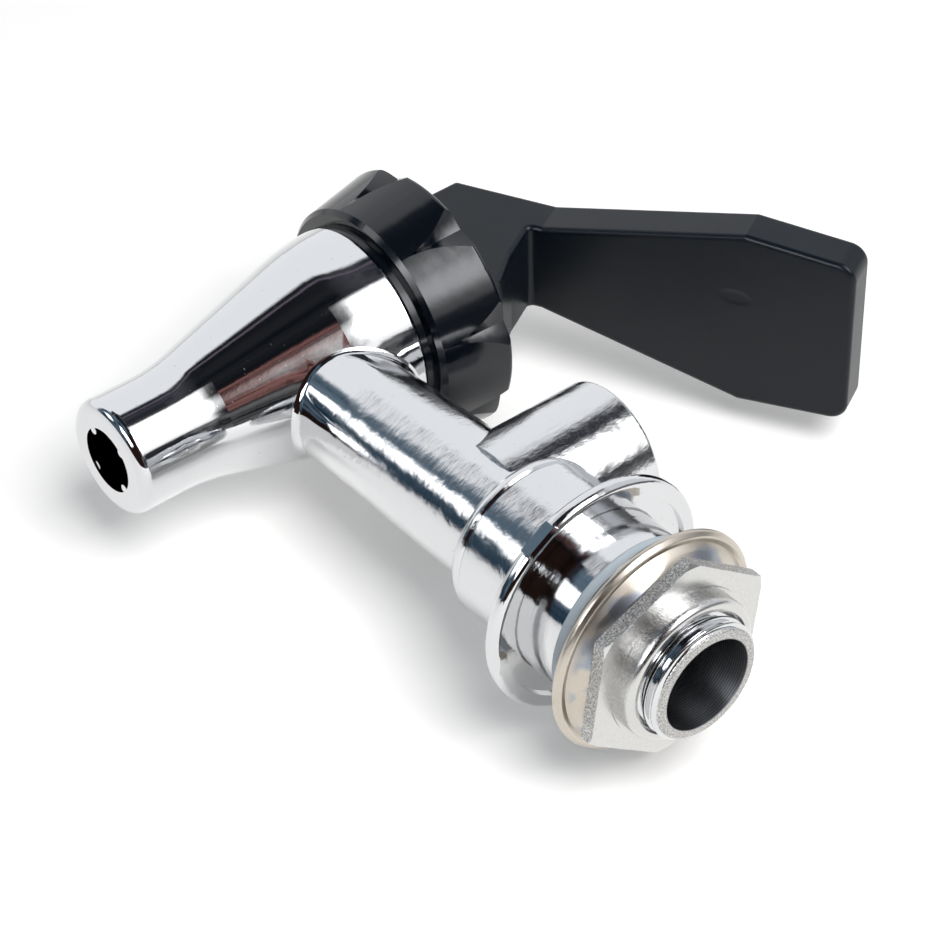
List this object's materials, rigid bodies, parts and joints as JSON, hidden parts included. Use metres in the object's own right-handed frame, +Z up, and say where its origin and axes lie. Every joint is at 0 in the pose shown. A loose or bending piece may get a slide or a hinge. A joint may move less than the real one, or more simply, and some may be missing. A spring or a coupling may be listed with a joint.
{
  "type": "boiler tap",
  "caption": "Draw-off tap for a water boiler: chrome body with down spout, side arm, gauge boss and threaded shank, black bonnet and press lever, with gasket, washer and back nut.",
  "frame": {"origin": "on the shank's axis in the flange's rear face, which lies against the boiler's wall", "axes": "+Y along the shank into the boiler, +Z up along the tap's body with the spout down, +X to the right for someone behind the tap"},
  "size_m": [0.0466, 0.1239, 0.1178],
  "materials": {
    "chrome": "bright chrome plate on a brass casting",
    "bonnet_black": "glossy black moulding",
    "lever_black": "satin black moulding",
    "steel": "turned stainless steel",
    "bush_white": "natural plastic bush",
    "silicone": "bluish white silicone",
    "passivated": "pressed steel with a yellow passivated coat",
    "nickel": "nickel plated nut, rough as cast on the flats"
  },
  "bodies": {
    "casing": {"tap_body": "chrome", "bonnet": "bonnet_black", "stem_bush": "bush_white", "upper_spring_washer": "steel", "tank_gasket": "silicone"},
    "plunger": {"lower_spring_washer": "steel", "stem_spring": "steel", "seat_cup": "silicone"},
    "spindle": {"stem": "steel"},
    "lever": {"lever": "lever_black", "lever_pin": "steel"},
    "washer": {"dished_washer": "passivated"},
    "nut": {"back_nut": "nickel"}
  },
  "joints": [
    {"name": "stem_lift", "type": "slide", "parent": "casing", "child": "plunger", "axis": [0, 0, 1], "range_m": [0, 0.0034], "stiffness_N_per_m": 150, "springref_m": -0.03, "deforming": ["stem_spring", "seat_cup"]},
    {"name": "lever_swivel", "type": "hinge", "parent": "plunger", "child": "spindle", "pos_m": [0, -0.0753, 0.03075], "axis": [0, 0, 1], "continuous": true},
    {"name": "lever_press", "type": "hinge", "parent": "spindle", "child": "lever", "pos_m": [0, -0.0753, 0.03075], "axis": [-1, 0, 0], "range_deg": [0, 20]},
    {"name": "washer_slide", "type": "slide", "parent": "casing", "child": "washer", "axis": [0, 1, 0], "range_m": [0, 0.00545]},
    {"name": "nut_turn", "type": "hinge", "parent": "washer", "child": "nut", "pos_m": [0, 0.019, 0], "axis": [0, 1, 0], "range_deg": [0, 1080]}
  ],
  "couplings": [
    {"joint": "stem_lift", "follows": "lever_press", "m_per_rad": 0.0095},
    {"joint": "washer_slide", "follows": "nut_turn", "m_per_rad": 0.00028871}
  ]
}
